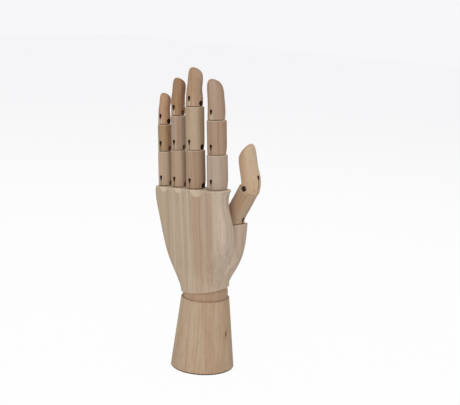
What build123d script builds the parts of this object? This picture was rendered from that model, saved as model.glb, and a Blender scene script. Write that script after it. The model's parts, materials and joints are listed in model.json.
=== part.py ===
# Wooden hand mannequin: a turned base, a wrist ball, a palm block and fourteen pinned finger pieces.
# Lengths are in millimetres and angles in degrees. The origin is the centre of the base's underside.
# The row frame has +Z up, the back of the left hand towards -Y and the thumb towards +X.
# The hand frame has its origin at the wrist ball's centre, and leans with the palm.
# A seat frame lies on a seam, with +X along the hinge pin, +Y where the finger bends to and +Z out.

import math
import os

from build123d import *

os.makedirs("parts", exist_ok=True)

# Base
base_foot_diameter = 59.2
base_rim_diameter = 44.9
base_height = 67.4
base_foot_round = 1.0
base_rim_round = 0.5
base_bore_diameter = 14.0
base_bore_floor = 22.0

# Wrist ball, which sits in a cup in the base and a cup in the palm
ball_diameter = 41.8
ball_rise = 3.8
ball_gap = 0.3
ball_bore_waist = 10.4
ball_bore_mouth = 22.0
cup_edge_bevel = 0.5

# Wrist fixing: a screw in the base's bore, a sleeve that turns on it, a coil spring and a screw in the palm
screw_diameter = 4.0
screw_length = 16.0
screw_head_diameter = 6.4
screw_head_height = 2.4
washer_diameter = 13.0
washer_thickness = 1.4
swivel_clearance = 0.08
spring_wire = 1.3
spring_mean_diameter = 8.0
spring_pitch = 3.4
spring_end_clearance = 0.3
plug_clearance = 0.1
plug_length = 9.0
plug_flange_diameter = 11.4
plug_flange_thickness = 2.0
palm_bore_diameter = 17.0
palm_bore_depth = 17.0

# Palm block, from the ball's centre up to the knuckles
palm_lean = 4.5
palm_height = 99.7
palm_little_side = 42.4
palm_index_side = 36.2
palm_back = 24.0
palm_front = 2.0
heel_radius = 21.9
heel_rise = 4.6
heel_slope_sideways = 3.6
heel_slope_forward = 4.2
palm_rim_round = 0.8
# Each section: height share, then how far each side has gone from the heel's circle to the knuckles,
# little finger's side, index side, back and front, and the corner's share of half the thickness
palm_section_shares = [
    (0.0, 0.0, 0.0, 0.0, 0.0, 0.92),
    (0.12, 0.10, 0.06, 0.02, 0.12, 0.90),
    (0.25, 0.33, 0.35, 0.1, 0.35, 0.80),
    (0.40, 0.56, 0.77, 0.3, 0.60, 0.72),
    (0.65, 0.80, 1.04, 0.55, 0.95, 0.72),
    (1.0, 1.0, 1.0, 1.0, 1.0, 0.70),
]
# Scoops between the knuckles on the back: radius of the cut's edge on the face, and its depth
web_scoops = [(4.5, 2.0), (4.3, 2.0), (6.6, 2.6)]

# Thumb mound and the shelf that carries the thumb
shelf_x = 25.6
shelf_y = 12.6
shelf_height = 65.0
shelf_tilt = 9.0
mound_radius_x = 12.4
mound_radius_y = 11.0
notch_front = 2.2
notch_inner = 9.0
mound_inset = 0.9
# Each section: height share of the shelf's height, share of the way from the heel to the shelf
# sideways and forwards, share of the way from the heel's radius to the mound's, and of the inset
mound_section_shares = [
    (0.0, 0.0, 0.0, 0.0, 1.0),
    (0.16, 0.08, 0.08, 0.14, 0.33),
    (0.38, 0.50, 0.46, 0.54, 0.0),
    (0.62, 0.82, 0.78, 0.82, 0.0),
    (1.0, 1.0, 1.0, 1.0, 0.0),
    (1.25, 1.06, 1.0, 1.0, 0.0),
]

# Finger hinges: steel link, cross pin, saw kerf, keyhole and the relief that lets a finger bend
seam_gap = 0.3
pin_height = 2.6
pin_diameter = 1.8
pin_fit = 0.02
eye_fit = 0.06
pin_hole_diameter = 4.4
pin_recess = 2.6
pin_blind = 2.0
link_thickness = 0.45
link_width = 4.2
link_eye_diameter = 4.6
link_tang = 9.0
link_fit = 0.03
kerf_width = 0.7
keyhole_height = 8.2
keyhole_diameter = 2.2
keyhole_taper = 3.4
relief_margin = 0.8
relief_spare_angle = 3.0
relief_roof_angle = 42.0
rim_round = 0.7
foot_round = 0.7
finger_bend = 65.0
thumb_tip_bend = 45.0
thumb_base_bend = 40.0
cut_overrun = 30.0

# Fingers: knuckle place in the hand frame, seam-to-seam lengths, foot and top diameters, and the side
# of the pin's hole
fingers = {
    "little": dict(
        knuckle=(-35.8, -12.0),
        lengths=(31.9, 24.9, 29.2),
        feet=(13.4, 12.6, 11.8),
        tops=(13.2, 12.7, 10.2),
        pin_side=1,
    ),
    "ring": dict(
        knuckle=(-19.4, -11.4),
        lengths=(33.9, 31.5, 34.6),
        feet=(15.0, 13.8, 12.8),
        tops=(14.4, 13.6, 11.8),
        pin_side=1,
    ),
    "middle": dict(
        knuckle=(0.0, -10.9),
        lengths=(35.0, 39.2, 35.5),
        feet=(18.2, 17.0, 16.4),
        tops=(17.7, 17.5, 13.6),
        pin_side=1,
    ),
    "index": dict(
        knuckle=(22.2, -6.9),
        lengths=(31.4, 31.1, 36.5),
        feet=(19.2, 17.8, 16.5),
        tops=(19.0, 18.0, 15.2),
        pin_side=-1,
    ),
}
joint_names = ["proximal", "middle", "distal"]

# Thumb: two pieces that turn at their feet, then run straight
thumb_lengths = (38.0, 41.0)
thumb_feet = (18.8, 18.6)
thumb_tops = (18.8, 17.4)
thumb_bends = (42.0, -45.0)
thumb_bend_length = 11.0
thumb_keyhole_distances = (11.6, 11.0)
thumb_pin_side = -1

# A fingertip, from where it starts to narrow to its end: drop below the end and radius, both as shares
# of the foot's radius, and the shift towards the finger's back, as a share of the same
tip_section_shares = [
    (2.3, 0.0),
    (1.25, 0.02),
    (0.68, 0.12),
    (0.3, 0.26),
    (0.08, 0.40),
    (0.0, 0.46),
]
tip_radius_shares = [1.0, 0.97, 0.86, 0.66, 0.38, 0.14]

ball_radius = ball_diameter / 2
ball_height = base_height + ball_rise
cup_radius = ball_radius + ball_gap
part_height = ball_height + 2 * palm_height
hand = Pos(0, 0, ball_height) * Rot(0, -palm_lean, 0)
upright = Rot(0, palm_lean, 0)
hinges = {}


def save(shape, name):
    shape.label = name
    export_step(shape, f"parts/{name}.step")


def above(location, size):
    # A block that fills the space above a seat frame's plane
    return location * Box(size, size, size, align=(Align.CENTER, Align.CENTER, Align.MIN))


def bar_up(radius, bottom, length):
    # A round bar along Z from a height
    return Pos(0, 0, bottom) * Cylinder(radius, length, align=(Align.CENTER, Align.CENTER, Align.MIN))


def along_x(radius, start, end, height):
    # A round bar along X between two places, at a height
    bar = Cylinder(radius, end - start, align=(Align.CENTER, Align.CENTER, Align.MIN))
    return Pos(start, 0, height) * Rot(0, 90, 0) * bar


def make_base():
    rim = base_rim_diameter / 2
    cone = Cone(base_foot_diameter / 2, rim, base_height, align=(Align.CENTER, Align.CENTER, Align.MIN))
    cone = fillet(cone.edges().sort_by(Axis.Z)[0], base_foot_round)
    cone = fillet(cone.edges().sort_by(Axis.Z)[-1], base_rim_round)
    cup = Pos(0, 0, ball_height) * Sphere(cup_radius)
    cup_mouth = math.sqrt(cup_radius**2 - ball_rise**2)
    bevel = Pos(0, 0, base_height) * Cone(
        cup_mouth - cup_edge_bevel, cup_mouth + cup_edge_bevel, 2 * cup_edge_bevel
    )
    bore = bar_up(base_bore_diameter / 2, base_bore_floor, ball_height - base_bore_floor)
    hole = bar_up(screw_diameter / 2, base_bore_floor - screw_length, screw_length)
    return cone - cup - bevel - bore - hole


def make_ball():
    waist = ball_bore_waist / 2
    mouth = ball_bore_mouth / 2
    reach = math.sqrt(ball_radius**2 - mouth**2)
    flare = mouth + (mouth - waist) * (ball_radius - reach) / reach
    upper = Cone(waist, flare, ball_radius, align=(Align.CENTER, Align.CENTER, Align.MIN))
    return Sphere(ball_radius) - upper - Rot(180, 0, 0) * upper


def palm_section(share):
    height, little, index, back, front, corner = share
    left = heel_radius + (palm_little_side - heel_radius) * little
    right = heel_radius + (palm_index_side - heel_radius) * index
    rear = heel_radius + (palm_back - heel_radius) * back
    fore = heel_radius + (palm_front - heel_radius) * front
    face = RectangleRounded(left + right, rear + fore, corner * (rear + fore) / 2)
    return Pos((right - left) / 2, (fore - rear) / 2, height * palm_height) * face


def mound_section(share):
    height, sideways, forward, narrowing, inset = share
    radius_x = heel_radius + (mound_radius_x - heel_radius) * narrowing - inset * mound_inset
    radius_y = heel_radius + (mound_radius_y - heel_radius) * narrowing - inset * mound_inset
    return Pos(shelf_x * sideways, shelf_y * forward, height * shelf_height) * Ellipse(radius_x, radius_y)


def trim_heel(body):
    # The palm's underside is a sloping plane with a cup for the ball
    slope = Pos(0, 0, heel_rise) * Rot(heel_slope_forward, -heel_slope_sideways, 0) * Rot(180, 0, 0)
    return body - above(slope, part_height) - Sphere(cup_radius)


def shelf_seat():
    return Pos(shelf_x, shelf_y, shelf_height) * Rot(0, -shelf_tilt, 0) * Rot(0, 0, 90)


def link_socket(seat):
    # The narrow slot that a link's tang is pressed into, below a seat frame's plane
    depth = link_tang + seam_gap
    slot = Box(
        link_thickness + 2 * link_fit,
        link_width + 2 * link_fit,
        depth + link_fit,
        align=(Align.CENTER, Align.CENTER, Align.MAX),
    )
    return seat * slot


def make_palm():
    block = trim_heel(loft([palm_section(share) for share in palm_section_shares]))
    block -= above(Pos(0, 0, palm_height - seam_gap), part_height)
    block = fillet(block.faces().sort_by(Axis.Z)[-1].edges(), palm_rim_round)
    seat = shelf_seat()
    mound = loft([mound_section(share) for share in mound_section_shares])
    mound = trim_heel(mound - above(seat * Pos(0, 0, -seam_gap), part_height))
    edge = Pos(shelf_x, 0, shelf_height) * Rot(0, -shelf_tilt, 0) * Pos(notch_inner - shelf_x, notch_front)
    notch = Box(palm_index_side, palm_back, palm_height, align=(Align.MIN, Align.MIN, Align.MIN))
    palm = block - edge * Pos(0, 0, -seam_gap) * notch + mound
    bore_top = ball_radius + palm_bore_depth
    palm -= upright * bar_up(palm_bore_diameter / 2, 0, bore_top)
    palm -= upright * bar_up(screw_diameter / 2, bore_top, screw_length)
    for finger in fingers.values():
        palm -= link_socket(Pos(*finger["knuckle"], palm_height))
    palm -= link_socket(seat)
    centres = [finger["knuckle"][0] for finger in fingers.values()]
    radii = [finger["feet"][0] / 2 for finger in fingers.values()]
    for n, (edge_radius, depth) in enumerate(web_scoops):
        left = centres[n] + radii[n]
        right = centres[n + 1] - radii[n + 1]
        radius = (edge_radius**2 + depth**2) / (2 * depth)
        palm -= Pos((left + right) / 2, -palm_back - radius + depth, palm_height) * Sphere(radius)
    return palm


def make_link():
    # Eye round the pin, and a tang that is pressed into the piece below the seam
    eye = Pos(0, 0, pin_height) * Rot(0, 90, 0) * Cylinder(link_eye_diameter / 2, link_thickness)
    tang = Pos(0, 0, pin_height) * Box(
        link_thickness,
        link_width,
        pin_height + seam_gap + link_tang,
        align=(Align.CENTER, Align.CENTER, Align.MAX),
    )
    reach = link_thickness
    return eye + tang - along_x(pin_diameter / 2 + eye_fit, -reach, reach, pin_height)


def pin_span(foot_radius, side):
    # Where the pin ends: recessed at the side that shows its hole, blind at the other
    open_end = foot_radius - pin_recess
    blind_end = foot_radius - pin_blind
    return (-blind_end, open_end) if side > 0 else (-open_end, blind_end)


def make_pin(foot_radius, side):
    start, end = pin_span(foot_radius, side)
    return along_x(pin_diameter / 2, start, end, pin_height)


def relief(bend, lower_radius, reach):
    # The bending side of a foot is cut back, by a plane tangent to a circle round the pin, up to where
    # the piece below comes at full bend, and from there out under a sloping roof
    plane_angle = math.radians(bend + relief_spare_angle)
    full = math.radians(bend)
    below = pin_height + seam_gap
    roof = lower_radius * math.sin(full) - below * math.cos(full) + relief_margin
    tangent = (pin_height * math.sin(plane_angle), pin_height - pin_height * math.cos(plane_angle))
    roof_y = (pin_height + math.cos(plane_angle) * roof) / math.sin(plane_angle)
    roof_z = pin_height + roof
    out = reach - roof_y
    points = [
        tangent,
        (roof_y, roof_z),
        (reach, roof_z + out * math.tan(math.radians(relief_roof_angle))),
        (reach, -reach),
        (pin_height * math.tan(plane_angle / 2), -reach),
        (pin_height * math.tan(plane_angle / 2), 0),
    ]
    outline = make_face(Plane.YZ * Polyline(*points, close=True))
    corner = Pos(0, 0, pin_height) * Rot(0, 90, 0) * Cylinder(pin_height, 2 * reach)
    toe = Pos(0, pin_height * math.sin(plane_angle), 0) * Box(
        2 * reach,
        2 * pin_height * math.sin(plane_angle),
        pin_height - pin_height * math.cos(plane_angle),
        align=(Align.CENTER, Align.MAX, Align.MIN),
    )
    toe &= Box(2 * reach, 2 * reach, 2 * reach, align=(Align.CENTER, Align.MIN, Align.CENTER))
    return extrude(outline, amount=reach, both=True) + (toe - corner)


def cut_foot(body, foot_radius, lower_radius, bend, side, keyhole_seat):
    # The hinge's cuts in the foot of a piece: relief, saw kerf, keyhole and pin hole
    body -= relief(bend, lower_radius, cut_overrun)
    kerf = Box(kerf_width, 2 * cut_overrun, cut_overrun, align=(Align.CENTER, Align.CENTER, Align.MAX))
    half = keyhole_diameter / 2
    keyhole = Rot(90, 0, 0) * Cylinder(half, 2 * cut_overrun)
    taper = make_face(
        Plane.XZ
        * Polyline(
            (-half, 0),
            (half, 0),
            (kerf_width / 2, -keyhole_taper),
            (-kerf_width / 2, -keyhole_taper),
            close=True,
        )
    )
    body -= keyhole_seat * kerf
    body -= keyhole_seat * keyhole
    body -= keyhole_seat * extrude(taper, amount=cut_overrun, both=True)
    start, end = pin_span(foot_radius, side)
    body -= along_x(pin_diameter / 2 + pin_fit, start, end, pin_height)
    mouth = (end, foot_radius + cut_overrun) if side > 0 else (-foot_radius - cut_overrun, start)
    body -= along_x(pin_hole_diameter / 2, *mouth, pin_height)
    return body


def bent_frame(distance, bend):
    # A frame at a distance along the axis of a thumb piece, which turns by bend at its foot
    turned = min(distance, thumb_bend_length)
    angle = math.radians(bend) * turned / thumb_bend_length
    radius = thumb_bend_length / math.radians(bend)
    back = radius * (1 - math.cos(angle))
    up = radius * math.sin(angle)
    straight = distance - turned
    back += straight * math.sin(angle)
    up += straight * math.cos(angle)
    return Pos(0, -back, up) * Rot(math.degrees(angle), 0, 0)


def straight_frame(distance):
    return Pos(0, 0, distance)


def tip_body(frame_at, stations, foot_radius, top_radius, length):
    sections = [frame_at(s) * Circle(foot_radius) for s in stations]
    for (drop, shift), share in zip(tip_section_shares, tip_radius_shares):
        place = frame_at(length - drop * top_radius) * Pos(0, -shift * top_radius, 0)
        sections.append(place * Circle(share * top_radius))
    return loft(sections)


def make_phalanx(foot, top, length, lower, bend, side):
    radius = foot / 2
    body = Cone(radius, top / 2, length - seam_gap, align=(Align.CENTER, Align.CENTER, Align.MIN))
    body = fillet(body.edges().sort_by(Axis.Z)[-1], rim_round)
    body = fillet(body.edges().sort_by(Axis.Z)[0], foot_round)
    body = cut_foot(body, radius, lower / 2, bend, side, straight_frame(keyhole_height))
    return body - link_socket(straight_frame(length))


def make_tip(foot, top, length, lower, bend, side):
    # A tapered foot up to the end of the keyhole's wall, then the rounded tip
    radius = foot / 2
    rise = keyhole_height + keyhole_diameter
    straight = length - tip_section_shares[0][0] * top / 2
    middle = radius + (top / 2 - radius) * rise / straight
    body = Cone(radius, middle, rise, align=(Align.CENTER, Align.CENTER, Align.MIN))
    body = fillet(body.edges().sort_by(Axis.Z)[0], foot_round)
    body += tip_body(straight_frame, [rise], middle, top / 2, length)
    return cut_foot(body, radius, lower / 2, bend, side, straight_frame(keyhole_height))


def make_thumb_proximal():
    radius = thumb_feet[0] / 2
    end = thumb_lengths[0] - seam_gap
    stations = [0, thumb_bend_length / 2, thumb_bend_length, (thumb_bend_length + end) / 2, end]
    body = loft([bent_frame(s, thumb_bends[0]) * Circle(radius) for s in stations])
    keyhole_seat = bent_frame(thumb_keyhole_distances[0], thumb_bends[0])
    body = cut_foot(body, radius, 2 * mound_radius_x, thumb_base_bend, thumb_pin_side, keyhole_seat)
    return body - link_socket(bent_frame(thumb_lengths[0], thumb_bends[0]))


def make_thumb_distal():
    radius = thumb_feet[1] / 2
    stations = [0, thumb_bend_length / 2, thumb_bend_length]

    def frame_at(distance):
        return bent_frame(distance, thumb_bends[1])

    body = tip_body(frame_at, stations, radius, thumb_tops[1] / 2, thumb_lengths[1])
    keyhole_seat = frame_at(thumb_keyhole_distances[1])
    return cut_foot(body, radius, thumb_tops[0] / 2, thumb_tip_bend, thumb_pin_side, keyhole_seat)


def add_hinge(name, seat):
    # The hinge's place and its axis, about which the finger bends by a positive angle
    pin = seat * Pos(0, 0, pin_height)
    axis = (seat * Pos(-1, 0, 0)).position - seat.position
    hinges[name] = (tuple(pin.position), tuple(axis))


def place_joint(name, seat, piece, foot_radius, side):
    # A link is pressed into the piece below the seam, and carries the piece that it is named after
    save(seat * piece, name)
    save(seat * make_link(), f"{name}_link")
    save(seat * make_pin(foot_radius, side), f"{name}_pin")
    add_hinge(name, seat)


def make_fingers():
    for finger, size in fingers.items():
        seat = hand * Pos(*size["knuckle"], palm_height)
        side = size["pin_side"]
        # A knuckle's relief has to clear the palm's front edge
        lower = max(size["feet"][0], 2 * (palm_front - size["knuckle"][1]))
        for n, joint in enumerate(joint_names):
            foot, top, length = size["feet"][n], size["tops"][n], size["lengths"][n]
            make = make_tip if joint == "distal" else make_phalanx
            piece = make(foot, top, length, lower, finger_bend, side)
            place_joint(f"{finger}_{joint}", seat, piece, foot / 2, side)
            seat = seat * straight_frame(length)
            lower = top


def make_thumb():
    seat = hand * shelf_seat()
    place_joint("thumb_proximal", seat, make_thumb_proximal(), thumb_feet[0] / 2, thumb_pin_side)
    seat = seat * bent_frame(thumb_lengths[0], thumb_bends[0])
    place_joint("thumb_distal", seat, make_thumb_distal(), thumb_feet[1] / 2, thumb_pin_side)


def make_spring(bottom, top):
    # Open coils between two heights of the wire's centre
    turns = math.floor((top - bottom) / spring_pitch)
    coil = Helix((top - bottom) / turns, top - bottom, spring_mean_diameter / 2)
    section = Plane(coil @ 0, z_dir=coil % 0) * Circle(spring_wire / 2)
    return Pos(0, 0, bottom) * sweep(section, path=coil, is_frenet=True)


def make_wrist_fixing():
    # The screw in the base holds the sleeve, which turns on it, and both plugs fill the spring's ends
    plug_radius = (spring_mean_diameter - spring_wire) / 2 - plug_clearance
    flange_radius = plug_flange_diameter / 2
    shank = screw_diameter / 2
    shank_hole = shank + swivel_clearance
    sleeve_bottom = base_bore_floor + washer_thickness
    plug_bottom = sleeve_bottom + plug_flange_thickness
    head_bottom = plug_bottom + plug_length + swivel_clearance
    washer = bar_up(washer_diameter / 2, base_bore_floor, washer_thickness)
    washer -= bar_up(shank_hole, base_bore_floor, washer_thickness)
    sleeve = bar_up(flange_radius, sleeve_bottom, plug_flange_thickness)
    sleeve += bar_up(plug_radius, plug_bottom, plug_length)
    sleeve -= bar_up(shank_hole, sleeve_bottom, plug_flange_thickness + plug_length)
    screw_bottom = base_bore_floor - screw_length
    screw = bar_up(shank, screw_bottom, head_bottom - screw_bottom)
    screw += bar_up(screw_head_diameter / 2, head_bottom, screw_head_height)
    palm_floor = ball_height + ball_radius + palm_bore_depth
    flange_bottom = palm_floor - plug_flange_thickness
    anchor = bar_up(shank, palm_floor, screw_length) + bar_up(flange_radius, flange_bottom, plug_flange_thickness)
    anchor += bar_up(plug_radius, flange_bottom - plug_length, plug_length)
    slack = spring_wire / 2 + spring_end_clearance
    return washer, sleeve, screw, anchor, make_spring(plug_bottom + slack, flange_bottom - slack)


def main():
    save(make_base(), "base")
    save(Pos(0, 0, ball_height) * make_ball(), "wrist_ball")
    save(hand * make_palm(), "palm")
    washer, sleeve, screw, anchor, spring = make_wrist_fixing()
    save(washer, "base_washer")
    save(sleeve, "spring_swivel")
    save(screw, "base_anchor_screw")
    save(anchor, "palm_anchor_screw")
    save(spring, "wrist_spring")
    make_fingers()
    make_thumb()


main()
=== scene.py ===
# Wooden hand mannequin: bare sanded wood, steel pins and links, on a plain white table.
# Lengths are in metres, and colours are written as they should look, from 0 to 255.

import json
import math

import bmesh
import bpy
from mathutils import Matrix, Vector


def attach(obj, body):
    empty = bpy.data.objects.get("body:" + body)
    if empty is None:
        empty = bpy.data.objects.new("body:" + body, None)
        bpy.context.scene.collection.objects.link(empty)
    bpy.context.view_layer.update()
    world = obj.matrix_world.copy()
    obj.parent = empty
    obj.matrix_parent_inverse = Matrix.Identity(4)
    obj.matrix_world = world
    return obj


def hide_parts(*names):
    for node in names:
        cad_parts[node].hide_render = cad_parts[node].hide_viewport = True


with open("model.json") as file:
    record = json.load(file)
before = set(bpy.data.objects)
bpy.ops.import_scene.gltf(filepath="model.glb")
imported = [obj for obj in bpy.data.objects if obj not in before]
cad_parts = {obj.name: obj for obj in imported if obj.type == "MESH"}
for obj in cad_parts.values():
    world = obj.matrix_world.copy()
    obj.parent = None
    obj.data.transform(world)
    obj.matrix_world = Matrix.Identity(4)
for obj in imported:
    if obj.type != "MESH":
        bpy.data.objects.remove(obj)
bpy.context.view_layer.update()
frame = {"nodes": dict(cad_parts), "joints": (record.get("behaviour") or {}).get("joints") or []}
nodes = frame["nodes"]
joints = {joint["name"]: joint for joint in frame["joints"]}


def shade(red, green, blue):
    """The colour that looks like these sRGB numbers."""
    linear = [c / 255 / 12.92 if c <= 10 else ((c / 255 + 0.055) / 1.055) ** 2.4 for c in (red, green, blue)]
    return (*linear, 1.0)


# The photograph's view: turned round the hand, tipped down and rolled, how far off, and where it aims
view_turn = math.radians(38.0)
view_tip = math.radians(11.54)
view_roll = math.radians(2.84)
view_distance = 1.0095
aim_height = 0.15757
aim_aside = 0.01871
focal_pixels = 1100
picture_width = 460
sensor_width = 36

# The room's own light, and the lamps: place, width and power. They point at the middle of the hand
room_level = 0.68
hand_middle = Vector((0, 0, 0.15))
lamps = {"key_lamp": ((0.62, -1.75, 1.25), 1.6, 16), "fill_lamp": ((1.9, -0.5, 0.8), 1.2, 4)}
room_white = shade(250, 250, 252)
wall_white = shade(247, 246, 248)

# The table: its width, its whites, how far from the hand it turns to the wall's white, and how little
# of the hand's shadow shows on it
table_width = 8
table_white = shade(244, 244, 245)
near_white = shade(255, 255, 255)
table_fade = (0.1, 2.6)
table_glow = 0.95

# A pair of numbers given to a mark says where it starts to show and where it is whole.
# Grain: how fine each noise is across and along the fibres, in waves to the metre, and where it shows
drift_grain = (31, 4.5)
broad_grain, broad_range = (110, 3.5), (0.36, 0.64)
streak_grain, streak_range = (430, 7), (0.42, 0.68)
fibre_grain, fibre_range = (1700, 55), (0.38, 0.80)
fleck_grain, fleck_range = (2600, 380), (0.61, 0.71)
fine_detail = 3.0

# The tree's heart lies aside of each piece, a little further for each seed, and its layers drift. Late
# wood is the dark end of a layer: it rises slowly through the layer and stops short at its end
heart_x, heart_y = 0.085, -0.05
heart_step_x, heart_step_y = 0.003, 0.002
drift_width = 0.006
late_rise, late_stop = (0.15, 0.9), (1.0, 0.92)

# How far fibres and flecks darken the wood, and how the fibres, flecks and late wood stand in its surface
fibre_share, fleck_share = 0.28, 0.22
fibre_height, fleck_depth, late_depth = 0.6, 0.5, 0.25
wood_bump, wood_bump_height = 0.45, 0.0001
wood_roughness, fibre_roughness, wood_gloss = 0.62, 0.14, 0.25

# Steel: its wear and drawn streaks, from bright to worn
wear_grain, wear_range = (900, 900), (0.4, 0.7)
drawn_grain = (4000, 300)
steel_bump, steel_bump_height = 0.3, 0.00003
steel_roughness, wear_roughness = 0.28, 0.25
bright_steel = shade(150, 146, 140)
worn_steel = shade(118, 112, 104)

# The palm's lean, its top over the wrist, and the scoops between its knuckles: edge radius and depth
palm_lean = math.radians(-4.5)
palm_height = 0.0997
palm_back = 0.024
web_scoops = [(0.0045, 0.0020), (0.0043, 0.0020), (0.0066, 0.0026)]
scoop_outer, scoop_inner = 0.0005, 0.0001
scoop_share = 0.6
scooped_wood = shade(206, 189, 164)
wrist = Vector(joints["wrist_turn"]["pos_m"])

# The palm's strips: the turn and place at which they run, how they waver, and how they fade
strips_turn = math.radians(38.0)
strips_start, strips_width = -0.052, 0.088
waver_grain, waver_width = (34, 6), 0.0030
shiver_grain, shiver_width = (260, 22), 0.0014
fading_grain, fading_range, fading_share = (60, 16), (0.3, 0.7), 0.35
faded_wood = shade(184, 165, 143)
heel_fade, heel_share = (0.030, 0.008), 0.6
heel_wood = shade(194, 173, 150)

# Each hinge: the pin's height over its seam, and the saw kerf, keyhole and pin hole round it, where painted
# shade darkens the kerf's walls and rings the keyhole and the pin hole
pin_height = 0.0026
pin_hole_radius = 0.0023
pin_shade_radius = 0.0029
pin_side_range = (0.0, 0.001)
kerf_half = 0.00035
kerf_edge = 0.0002
kerf_end = (0.0006, -0.0004)
kerf_outer, kerf_inner = 0.0001, 0.0008
keyhole_height = 0.0082
keyhole_radius = 0.00135
keyhole_tail = 0.0045
keyhole_edge = 0.0003
tail_edge = 0.0004
# Painted shade: dark round the keyhole and the pin holes, mid-brown on the kerf's walls, and faint round most
# pin holes
hole_shade_wood = shade(62, 36, 20)
kerf_shade_wood = shade(150, 116, 86)
faint_pin_shade = 0.35

# The painted line of shade at a seam, the pale streak painted beside a fingertip's kerf, and the painted
# highlight on the rim at a piece's top
seam_edge, seam_share = (0.0009, 0.0001), 0.5
seam_shade_wood = shade(104, 72, 50)
pale_streak_width = (0.0016, 0.0009)
pale_streak_top, pale_streak_end = (-0.0024, -0.0034), (-0.0080, -0.0070)
pale_streak_share = 0.75
pale_streak_wood = shade(214, 196, 172)
# The painted highlight on the rim at a piece's top
rim_width, rim_full, rim_share = 0.0013, 0.4, 0.55
rim_highlight_wood = shade(210, 192, 168)

# The base's knot: its place, how it bows, and how many of its half widths and half heights go to a metre
knot_aside, knot_height = 0.0209, 0.0362
knot_bow = 28
knot_widths, knot_heights = 1050, 270
knot_side = (0.0, -0.004)
knot_ring, knot_ring_share = (1.9, 0.7), 0.35
knot_heart, knot_heart_share = (1.0, 0.3), 0.85
knot_ring_wood = shade(150, 112, 82)
knot_heart_wood = shade(98, 66, 42)

# The painted shadow line round the base's foot, and the turn of the base's grain
foot_shadow_line, foot_share = (0.0017, 0.0010), 0.9
foot_shadow_wood = shade(64, 38, 28)
base_turn = 0.5

# The thumb's pieces: the foot's lean, the bend over the foot, and how far up the axis the keyhole lies
thumb_bend_length = 0.011
thumb_pieces = {
    "thumb_proximal": (math.radians(-13.5), math.radians(42.0), 0.0116),
    "thumb_distal": (math.radians(28.5), math.radians(-45.0), 0.0110),
}

finger_names = ["little", "ring", "middle", "index"]

# The strips across the palm, from the little finger's side. From 0.75 on they are painted lighter, as painted
# light over the shade where the palm's rounded side turns away beside the thumb's mound
strip_and_light_stops = [
    (0.00, shade(184, 166, 143)),
    (0.13, shade(180, 162, 137)),
    (0.17, shade(187, 168, 144)),
    (0.21, shade(178, 159, 133)),
    (0.25, shade(183, 164, 139)),
    (0.28, shade(191, 172, 149)),
    (0.31, shade(182, 161, 138)),
    (0.345, shade(185, 165, 144)),
    (0.37, shade(192, 174, 151)),
    (0.395, shade(178, 159, 134)),
    (0.42, shade(184, 165, 141)),
    (0.435, shade(194, 177, 153)),
    (0.455, shade(188, 170, 146)),
    (0.49, shade(185, 164, 141)),
    (0.51, shade(173, 147, 123)),
    (0.545, shade(179, 152, 129)),
    (0.58, shade(173, 146, 122)),
    (0.60, shade(182, 161, 137)),
    (0.625, shade(183, 163, 139)),
    (0.645, shade(174, 148, 126)),
    (0.685, shade(174, 148, 126)),
    (0.705, shade(186, 166, 146)),
    (0.725, shade(192, 174, 154)),
    # From here on: painted light over the shade beside the thumb's mound
    (0.75, shade(188, 170, 150)),
    (0.81, shade(204, 186, 166)),
    (0.86, shade(197, 179, 159)),
    (0.90, shade(200, 181, 161)),
    (0.95, shade(191, 171, 150)),
    (1.00, shade(188, 167, 146)),
]

# The main colour of each finger piece, and its foot's radius
piece_looks = {
    "little_proximal": ((183, 163, 141), 0.0067),
    "little_middle": ((164, 137, 106), 0.0063),
    "little_distal": ((178, 144, 116), 0.0059),
    "ring_proximal": ((175, 151, 127), 0.0075),
    "ring_middle": ((171, 149, 129), 0.0069),
    "ring_distal": ((160, 127, 96), 0.0064),
    "middle_proximal": ((166, 141, 118), 0.0091),
    "middle_middle": ((177, 156, 131), 0.0085),
    "middle_distal": ((175, 147, 122), 0.0082),
    "index_proximal": ((177, 159, 142), 0.0096),
    "index_middle": ((165, 140, 118), 0.0089),
    "index_distal": ((167, 143, 122), 0.00825),
    "thumb_proximal": ((177, 152, 126), 0.0094),
    "thumb_distal": ((193, 168, 140), 0.0093),
}
grain_turn = 0.7

# The pin holes with a full dark ring of painted shade round them; round the others the painted shade is
# faint, only a little darker than the wood
shaded_pin_holes = ["little_distal", "middle_proximal", "middle_middle", "middle_distal", "thumb_distal"]

# The fingertips as sanded: where it starts, material slot, lean aside, how much fuller, and the end's slope
sanded_tips = {
    "little_distal": (0.012, "finger_wood", 0.12, 0.10, 0.30),
    "ring_distal": (0.012, "dark_wood", 0.11, 0.10, 0.30),
    "middle_distal": (0.012, "finger_wood", 0.11, 0.03, 0.25),
    "index_distal": (0.012, "grey_wood", -0.06, 0.0, 0.06),
    "thumb_distal": (0.006, "finger_wood", 0.07, 0.0, -0.34),
}
peak_aside = 0.35
lean_ease = 3
sanding_steps = 8
merge_distance = 0.000001
sharp_angle = math.radians(30)


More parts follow.
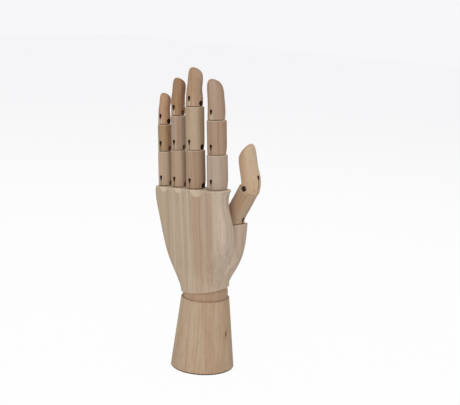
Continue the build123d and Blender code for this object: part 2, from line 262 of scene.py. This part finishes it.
class Measure:
    """A number that varies over a surface. Arithmetic on it adds the nodes that work it out."""

    def __init__(self, finish, socket):
        self.finish = finish
        self.socket = socket

    def worked(self, operation, *numbers):
        return self.finish.node("ShaderNodeMath", {"operation": operation}, dict(enumerate(numbers)))[0]

    def __add__(self, other):
        return self.worked("ADD", self, other)

    def __radd__(self, other):
        return self.worked("ADD", other, self)

    def __sub__(self, other):
        return self.worked("SUBTRACT", self, other)

    def __rsub__(self, other):
        return self.worked("SUBTRACT", other, self)

    def __mul__(self, other):
        return self.worked("MULTIPLY", self, other)

    def __rmul__(self, other):
        return self.worked("MULTIPLY", other, self)

    def __truediv__(self, other):
        return self.worked("DIVIDE", self, other)

    def __pow__(self, other):
        return self.worked("POWER", self, other)

    def __abs__(self):
        return self.worked("ABSOLUTE", self)

    def part(self):
        """What is left over a whole number."""
        return self.worked("FRACT", self)

    def least(self, other):
        return self.worked("MINIMUM", self, other)

    def most(self, other):
        return self.worked("MAXIMUM", self, other)

    def step(self, start, end):
        """0 at start and 1 at end, with a soft rise between them."""
        return self.finish.node(
            "ShaderNodeMapRange",
            {"interpolation_type": "SMOOTHSTEP"},
            {"Value": self, "From Min": start, "From Max": end},
        )[0]


class Finish:
    """One finish, built up node by node."""

    def __init__(self, owner):
        self.owner = owner
        owner.use_nodes = True
        self.tree = owner.node_tree
        self.tree.nodes.clear()

    def node(self, kind, settings=None, inputs=None):
        """Adds a node, and returns its outputs as measures."""
        made = self.tree.nodes.new(kind)
        for name, value in (settings or {}).items():
            if name == "stops":
                ramp = made.color_ramp
                while len(ramp.elements) < len(value):
                    ramp.elements.new(0.5)
                for element, (place, colour) in zip(ramp.elements, value):
                    element.position = place
                    element.color = colour
            else:
                setattr(made, name, value)
        for name, value in (inputs or {}).items():
            if isinstance(value, Measure):
                self.tree.links.new(value.socket, made.inputs[name])
            else:
                made.inputs[name].default_value = value
        return [Measure(self, socket) for socket in made.outputs]

    def place(self, origin=(0, 0, 0), turn=(0, 0, 0)):
        """Object coordinates seen from a frame at origin, turned by three angles."""
        here = self.node("ShaderNodeTexCoord")[3]
        seat = {"Vector": here, "Location": origin, "Rotation": turn}
        return self.node("ShaderNodeMapping", {"vector_type": "TEXTURE"}, seat)[0]

    def split(self, vector):
        return self.node("ShaderNodeSeparateXYZ", None, {0: vector})

    def noise(self, vector, grain, skew=0, detail=2.0):
        """Noise as fine as grain says across and along Z. skew sets its two directions across apart."""
        across, along = grain
        scale = (across + skew, across - skew, along)
        spread = self.node("ShaderNodeVectorMath", {"operation": "MULTIPLY"}, {0: vector, 1: scale})[0]
        return self.node("ShaderNodeTexNoise", None, {"Vector": spread, "Scale": 1.0, "Detail": detail})[0]

    def mix(self, share, first, second):
        """A colour between two others, by share from 0 to 1."""
        return self.node("ShaderNodeMix", {"data_type": "RGBA"}, {0: share, 6: first, 7: second})[2]

    def bump(self, height, strength, distance):
        relief = {"Strength": strength, "Distance": distance, "Height": height}
        return self.node("ShaderNodeBump", None, relief)[0]

    def seen(self):
        """1 for what the camera sees, straight, in a reflection or through glass, and 0 for light."""
        path = self.node("ShaderNodeLightPath")
        return path[0].most(path[3]).most(path[6])

    def surface(self, sockets):
        shader = self.node("ShaderNodeBsdfPrincipled", None, sockets)[0]
        self.node("ShaderNodeOutputMaterial", None, {"Surface": shader})
        return self.owner


def wood(name, look, grain, marks=(), layers=None):
    """Bare sanded wood. look has its colours and how plainly its grain shows, grain the frame whose Z the
    fibres follow. layers may give the colour under the grain, and marks change the finished colour."""
    finish = Finish(bpy.data.materials.new(name))
    place = finish.place(*grain)
    x, y, z = finish.split(place)
    seed = look["seed"]
    drift = finish.noise(place, drift_grain, seed) - 0.5
    heart = ((x - heart_x - heart_step_x * seed) ** 2 + (y - heart_y - heart_step_y * seed) ** 2) ** 0.5
    layer = ((heart + drift * drift_width) / look["layer"]).part()
    late = layer.step(*late_rise) * layer.step(*late_stop)
    broad = finish.noise(place, broad_grain, seed).step(*broad_range)
    streak = finish.noise(place, streak_grain, -seed).step(*streak_range)
    fibre = finish.noise(place, fibre_grain, detail=fine_detail)
    fleck = finish.noise(place, fleck_grain).step(*fleck_range)
    colour = layers(finish) if layers else finish.mix(broad, look["pale"], look["warm"])
    colour = finish.mix(late * look["line"], colour, look["deep"])
    colour = finish.mix(streak * look["streak"], colour, look["deep"])
    colour = finish.mix(fibre.step(*fibre_range) * fibre_share, colour, look["deep"])
    colour = finish.mix(fleck * fleck_share, colour, look["deep"])
    height = fibre * fibre_height - fleck * fleck_depth - late * late_depth
    for mark in marks:
        colour = mark(finish, colour)
    return finish.surface(
        {
            "Base Color": colour,
            "Roughness": wood_roughness + fibre * fibre_roughness,
            "Normal": finish.bump(height, wood_bump, wood_bump_height),
            "Specular IOR Level": wood_gloss,
        }
    )


def tone(red, green, blue, seed, layer=0.0024, line=0.12, streak=0.20):
    """The colours of one piece of wood, round its main one, and how wide and plain its grain is."""
    return {
        "pale": shade(red + 6, green + 7, blue + 7),
        "warm": shade(red - 2, green - 6, blue - 8),
        "deep": shade(red - 44, green - 50, blue - 52),
        "layer": layer,
        "line": line,
        "streak": streak,
        "seed": seed,
    }


def hinge_cuts(seat, keyhole, radius, pin_side, pin_shade_share, pale_streak):
    """The keyhole and the pin's hole are painted dark as shade in their hollows, the seam's edge gets a
    painted line of shade, the kerf's walls are painted mid-brown as shade in the slot, and the wood beside a
    fingertip's kerf is painted as a pale streak. Of the last two arguments, the first says how dark the
    painted shade at the pin's hole is and the second how pale that streak is."""

    def darken(finish, colour):
        x, y, z = finish.split(finish.place(*seat))
        inside = ((x * x + y * y) ** 0.5).step(radius - kerf_outer, radius - kerf_inner)
        pin = ((y * y + (z - pin_height) ** 2) ** 0.5).step(pin_shade_radius, pin_hole_radius)
        pin = pin * (x * pin_side).step(*pin_side_range) * pin_shade_share
        across, along, up = finish.split(finish.place(*keyhole))
        kerf = abs(across).step(kerf_half + kerf_edge, kerf_half) * up.step(*kerf_end) * inside
        reach = (1 + up.least(0) / keyhole_tail).most(0) * keyhole_radius
        key = ((across * across + up.most(0) ** 2) ** 0.5).step(reach + keyhole_edge, reach)
        key = key * up.step(-keyhole_tail, tail_edge - keyhole_tail)
        beside = abs(across).step(*pale_streak_width) * up.step(*pale_streak_top) * up.step(*pale_streak_end)
        # A painted line of shade along the seam's edge
        colour = finish.mix(z.step(*seam_edge) * seam_share, colour, seam_shade_wood)
        # A pale streak painted beside a fingertip's kerf
        colour = finish.mix(beside * pale_streak, colour, pale_streak_wood)
        # Painted mid-brown shade on the kerf's walls
        colour = finish.mix(kerf, colour, kerf_shade_wood)
        # Painted shade round the keyhole and the pin's hole
        return finish.mix(key.most(pin), colour, hole_shade_wood)

    return darken


def rim_highlight(seat):
    """The rounded rim at a piece's top is painted pale, as a painted highlight where the rim catches the
    light.
    """

    def lighten(finish, colour):
        x, y, z = finish.split(finish.place(*seat))
        return finish.mix(z.step(-rim_width, -rim_full * rim_width) * rim_share, colour, rim_highlight_wood)

    return lighten


def palm_strips(finish):
    """The layers of the palm's block run through it at a slant and show as wide upright strips."""
    place = finish.place(wrist, (0, palm_lean, strips_turn))
    x, y, z = finish.split(place)
    waver = finish.noise(place, waver_grain) - 0.5
    shiver = finish.noise(place, shiver_grain) - 0.5
    share = (x + waver * waver_width + shiver * shiver_width - strips_start) / strips_width
    strip = finish.node("ShaderNodeValToRGB", {"stops": strip_and_light_stops}, {0: share})[0]
    faded = finish.noise(place, fading_grain).step(*fading_range)
    strip = finish.mix(faded * fading_share, strip, faded_wood)
    return finish.mix(z.step(*heel_fade) * heel_share, strip, heel_wood)


def pale_scoops(finish, colour):
    """The scoops between the knuckles are painted pale."""
    x, y, z = finish.split(finish.place(wrist, (0, palm_lean, 0)))
    feet = [f"{finger}_proximal" for finger in finger_names]
    knuckles = [(turned(-palm_lean) @ (hinge_seat(foot)[0] - wrist)).x for foot in feet]
    for n, (edge, depth) in enumerate(web_scoops):
        left = knuckles[n] + foot_radius(feet[n])
        right = knuckles[n + 1] - foot_radius(feet[n + 1])
        radius = (edge**2 + depth**2) / (2 * depth)
        off = (x - (left + right) / 2) ** 2 + (y + palm_back + radius - depth) ** 2 + (z - palm_height) ** 2
        scooped = (off**0.5).step(radius + scoop_outer, radius + scoop_inner)
        colour = finish.mix(scooped * scoop_share, colour, scooped_wood)
    return colour


def base_marks(finish, colour):
    """A small knot at the side of the base, and a painted shadow line under its rounded foot."""
    x, y, z = finish.split(finish.place((0, 0, 0), (0, 0, view_turn)))
    near = y.step(*knot_side)
    bow = (z - knot_height) ** 2 * knot_bow
    across = (x - knot_aside + bow) * knot_widths
    along = (z - knot_height) * knot_heights
    knot = (across * across + along * along) ** 0.5
    colour = finish.mix(knot.step(*knot_ring) * near * knot_ring_share, colour, knot_ring_wood)
    colour = finish.mix(knot.step(*knot_heart) * near * knot_heart_share, colour, knot_heart_wood)
    # A painted shadow line under the base's foot
    return finish.mix(z.step(*foot_shadow_line) * foot_share, colour, foot_shadow_wood)


def steel():
    """Plain drawn steel, a little worn."""
    finish = Finish(bpy.data.materials.new("drawn_steel"))
    place = finish.place()
    wear = finish.noise(place, wear_grain, detail=fine_detail)
    drawn = finish.noise(place, drawn_grain)
    return finish.surface(
        {
            "Base Color": finish.mix(wear.step(*wear_range), bright_steel, worn_steel),
            "Metallic": 1.0,
            "Roughness": steel_roughness + wear * wear_roughness,
            "Normal": finish.bump(drawn, steel_bump, steel_bump_height),
        }
    )


def turned(angle):
    """A turn about Y, by which the palm and the pieces lean aside."""
    return Matrix.Rotation(angle, 3, "Y")


def framed(place, turn):
    """A place and a turn as a Mapping node takes them."""
    return tuple(place), tuple(turn.to_euler())


def foot_radius(name):
    return piece_looks[name][1]


def hinge_seat(name):
    """A hinge's seam: its place, and its frame with X along the pin and Z out of the piece below."""
    pin = Vector(joints[f"{name}_bend"]["pos_m"])
    if name in thumb_pieces:
        turn = turned(thumb_pieces[name][0]) @ Matrix.Rotation(math.radians(90), 3, "Z")
    else:
        turn = turned(palm_lean)
    return pin - turn @ Vector((0, 0, pin_height)), turn


def keyhole_seat(name):
    """A keyhole: its place, its frame with Z along the piece, and the piece's lean. The thumb's keyholes lie
    past the bend over the foot, square to the piece's own axis."""
    seam, turn = hinge_seat(name)
    if name not in thumb_pieces:
        return seam + turn @ Vector((0, 0, keyhole_height)), turn, palm_lean
    foot_lean, bend, distance = thumb_pieces[name]
    bent = min(distance, thumb_bend_length)
    angle = bend * bent / thumb_bend_length
    radius = thumb_bend_length / bend
    back = radius * (1 - math.cos(angle)) + (distance - bent) * math.sin(angle)
    up = radius * math.sin(angle) + (distance - bent) * math.cos(angle)
    return seam + turn @ Vector((0, -back, up)), turn @ Matrix.Rotation(angle, 3, "X"), foot_lean + angle


def sand_tip(name, place, turn, start, slot, lean, fuller, slant):
    """A fingertip as it was sanded by hand: from start up it leans aside, is a little fuller, and its end
    slopes down on one side. place and turn give a frame whose Z is the tip's axis."""
    seat = Matrix.Translation(place) @ turn.to_4x4()
    shape = bmesh.new()
    shape.from_mesh(nodes[name].data)
    bmesh.ops.remove_doubles(shape, verts=shape.verts, dist=merge_distance)
    bmesh.ops.transform(shape, matrix=seat.inverted(), verts=shape.verts)
    top = max(point.co.z for point in shape.verts)
    for step in range(sanding_steps):
        height = start + (top - start) * step / sanding_steps
        everything = shape.verts[:] + shape.edges[:] + shape.faces[:]
        bmesh.ops.bisect_plane(
            shape, geom=everything, dist=merge_distance, plane_co=(0, 0, height), plane_no=(0, 0, 1)
        )
    side = foot_radius(name)
    peak = math.copysign(peak_aside, slant) * side
    for point in shape.verts:
        rise = max(point.co.z - start, 0)
        share = rise / (top - start)
        point.co.z -= slant * (point.co.x + peak) * share**3
        point.co.x += lean * rise * min(share * lean_ease, 1) + fuller * share * (point.co.x + side)
    bmesh.ops.transform(shape, matrix=seat, verts=shape.verts)
    mesh = bpy.data.meshes.new(name + "_sanded")
    shape.to_mesh(mesh)
    shape.free()
    mesh.materials.append(nodes[name].data.materials[0])
    mesh.shade_smooth()
    mesh.set_sharp_from_angle(angle=sharp_angle)
    tip = bpy.data.objects.new(name + "_sanded", mesh)
    bpy.context.scene.collection.objects.link(tip)
    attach(tip, name)
    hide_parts(name)


def dress(node, material):
    mesh = nodes[node].data
    mesh.materials.clear()
    mesh.materials.append(material)


def dress_pieces():
    """Each finger piece has its own wood, its hinge's marks with their painted shade, and a painted highlight
    on the rim under the hinge above it.
    """
    names = list(piece_looks)
    for seed, (name, (colour, radius)) in enumerate(piece_looks.items()):
        seam, turn = hinge_seat(name)
        keyhole, keyhole_turn, body_lean = keyhole_seat(name)
        grain = framed(seam, turned(body_lean) @ Matrix.Rotation(seed * grain_turn, 3, "Z"))
        is_thumb, is_tip = name in thumb_pieces, name in sanded_tips
        pale_streak = pale_streak_share if is_tip and not is_thumb else 0.0
        pin_side = -1 if is_thumb or name.startswith("index") else 1
        pin_shade_share = 1.0 if name in shaded_pin_holes else faint_pin_shade
        seats = framed(seam, turn), framed(keyhole, keyhole_turn)
        marks = [hinge_cuts(*seats, radius, pin_side, pin_shade_share, pale_streak)]
        if not is_tip:
            marks.insert(0, rim_highlight(framed(*hinge_seat(names[seed + 1]))))
        dress(name, wood(name + "_wood", tone(*colour, seed), grain, marks))
        if is_tip:
            sand_tip(name, keyhole if is_thumb else seam, turned(body_lean), *sanded_tips[name])


def dress_hand():
    leaning = (0, palm_lean, 0)
    palm_top = tuple(wrist + turned(palm_lean) @ Vector((0, 0, palm_height)))
    palm_look = tone(188, 169, 148, seed=3, layer=0.0034, line=0.10, streak=0.32)
    palm_marks = [rim_highlight((palm_top, leaning)), pale_scoops]
    dress("palm", wood("palm_wood", palm_look, (wrist, leaning), palm_marks, palm_strips))
    ball_look = tone(174, 147, 120, seed=5)
    dress("wrist_ball", wood("ball_wood", ball_look, ((0, 0, 0), (0, 0, 0))))
    base_look = tone(183, 159, 132, seed=8, layer=0.0031)
    dress("base", wood("base_wood", base_look, ((0, 0, 0), (0, 0, base_turn)), [base_marks]))
    dress_pieces()
    metal = steel()
    for name in nodes:
        if name.endswith(("_pin", "_link", "_screw", "_washer", "_swivel", "_spring")):
            dress(name, metal)


def lay_table():
    """A white table top that takes only a faint shadow to the camera."""
    bpy.ops.mesh.primitive_plane_add(size=table_width, location=(0, 0, 0))
    table = bpy.context.object
    table.name = "table_top"
    finish = Finish(bpy.data.materials.new("white_table"))
    x, y, z = finish.split(finish.place())
    far = ((x * x + y * y) ** 0.5).step(*table_fade)
    white = finish.mix(far, near_white, wall_white)
    matt = finish.node("ShaderNodeBsdfDiffuse", None, {"Color": table_white})[0]
    glow = finish.node("ShaderNodeEmission", None, {"Color": white, "Strength": 1.0})[0]
    both = finish.node("ShaderNodeMixShader", None, {0: finish.seen() * table_glow, 1: matt, 2: glow})[0]
    finish.node("ShaderNodeOutputMaterial", None, {"Surface": both})
    table.data.materials.append(finish.owner)


def light_room():
    """Even white light all round, in front of which the camera and glossy metal see a pale wall."""
    world = bpy.data.worlds.new("white_room")
    bpy.context.scene.world = world
    finish = Finish(world)
    lit = finish.node("ShaderNodeBackground", None, {"Color": room_white, "Strength": room_level})[0]
    wall = finish.node("ShaderNodeBackground", None, {"Color": wall_white, "Strength": 1.0})[0]
    both = finish.node("ShaderNodeMixShader", None, {0: finish.seen(), 1: lit, 2: wall})[0]
    finish.node("ShaderNodeOutputWorld", None, {"Surface": both})


def hang_lamp(name, place, width, power):
    lamp = bpy.data.lights.new(name, "AREA")
    lamp.shape = "DISK"
    lamp.size = width
    lamp.energy = power
    holder = bpy.data.objects.new(name, lamp)
    bpy.context.scene.collection.objects.link(holder)
    holder.location = place
    holder.rotation_euler = (hand_middle - Vector(place)).to_track_quat("-Z", "Y").to_euler()


def set_camera():
    """The photograph's view of the back of the hand."""
    level = math.cos(view_tip)
    back = Vector((math.sin(view_turn) * level, -math.cos(view_turn) * level, math.sin(view_tip)))
    right = Vector((math.cos(view_turn), math.sin(view_turn), 0))
    up = back.cross(right)
    aim = Vector((0, 0, aim_height)) + right * aim_aside
    across = right * math.cos(view_roll) + up * math.sin(view_roll)
    over = up * math.cos(view_roll) - right * math.sin(view_roll)
    lens = bpy.data.cameras.new("camera")
    lens.sensor_fit = "HORIZONTAL"
    lens.sensor_width = sensor_width
    lens.lens = focal_pixels / picture_width * sensor_width
    holder = bpy.data.objects.new("camera", lens)
    bpy.context.scene.collection.objects.link(holder)
    facing = Matrix((across, over, back)).transposed().to_4x4()
    holder.matrix_world = Matrix.Translation(aim + back * view_distance) @ facing
    bpy.context.scene.camera = holder


dress_hand()
lay_table()
light_room()
for lamp_name, (lamp_place, lamp_width, lamp_power) in lamps.items():
    hang_lamp(lamp_name, lamp_place, lamp_width, lamp_power)
set_camera()
bpy.context.scene.view_settings.view_transform = "Standard"
